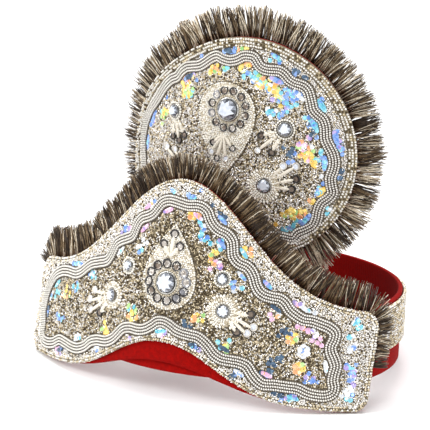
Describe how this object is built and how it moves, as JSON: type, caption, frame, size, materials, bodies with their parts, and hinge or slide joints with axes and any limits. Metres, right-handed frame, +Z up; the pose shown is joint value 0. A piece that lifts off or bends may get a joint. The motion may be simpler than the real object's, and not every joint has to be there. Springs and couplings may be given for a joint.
{
  "type": "fringed crown",
  "caption": "Costume crown: red cloth head band, peaked beaded front plate and a round beaded disc behind it, both edged with metallic fringe and set with stones.",
  "frame": {"origin": "on the floor under the centre of the crown's bounding box, the crown standing as it rests", "axes": "+Z up, -Y out of the face of the front plate, +X to the viewer's right when facing the plate"},
  "size_m": [0.2108, 0.163, 0.1877],
  "materials": {
    "red_cloth": "matte woven cloth over felt",
    "silver_beadwork": "close metallic and glass beadwork on cloth",
    "silver_cord": "twisted metallic cord, four rows side by side",
    "cream_beadwork": "raised cream seed beadwork",
    "grey_sequins": "dark-rimmed grey sequins",
    "setting_metal": "plated metal cup",
    "clear_stone": "clear cut stone with a foiled back",
    "dark_silver_thread": "dark silver metallic thread"
  },
  "bodies": {
    "root": {"head_band": "red_cloth", "plate_backing": "red_cloth", "disc_backing": "red_cloth", "disc_stay": "red_cloth", "band_braid": "silver_beadwork", "plate_face": "silver_beadwork", "disc_face": "silver_beadwork", "plate_cord": "silver_cord", "disc_cord": "silver_cord", "disc_edge_cord": "silver_cord", "plate_fringe": "dark_silver_thread", "disc_fringe": "dark_silver_thread", "plate_teardrop": "cream_beadwork", "disc_teardrop": "cream_beadwork", "plate_petal_fan": "cream_beadwork", "disc_petal_fan": "cream_beadwork", "plate_sequin_ring": "grey_sequins", "disc_sequin_ring": "grey_sequins", "plate_stone_setting": "setting_metal", "disc_stone_setting": "setting_metal", "plate_stone": "clear_stone", "disc_stone": "clear_stone", "plate_small_stone_left": "cream_beadwork", "plate_small_stone_right": "cream_beadwork", "plate_flower_left": "cream_beadwork", "plate_flower_right": "cream_beadwork", "disc_small_stone_left": "cream_beadwork", "disc_small_stone_right": "cream_beadwork", "disc_flower_left": "cream_beadwork", "disc_flower_right": "cream_beadwork"}
  },
  "joints": []
}
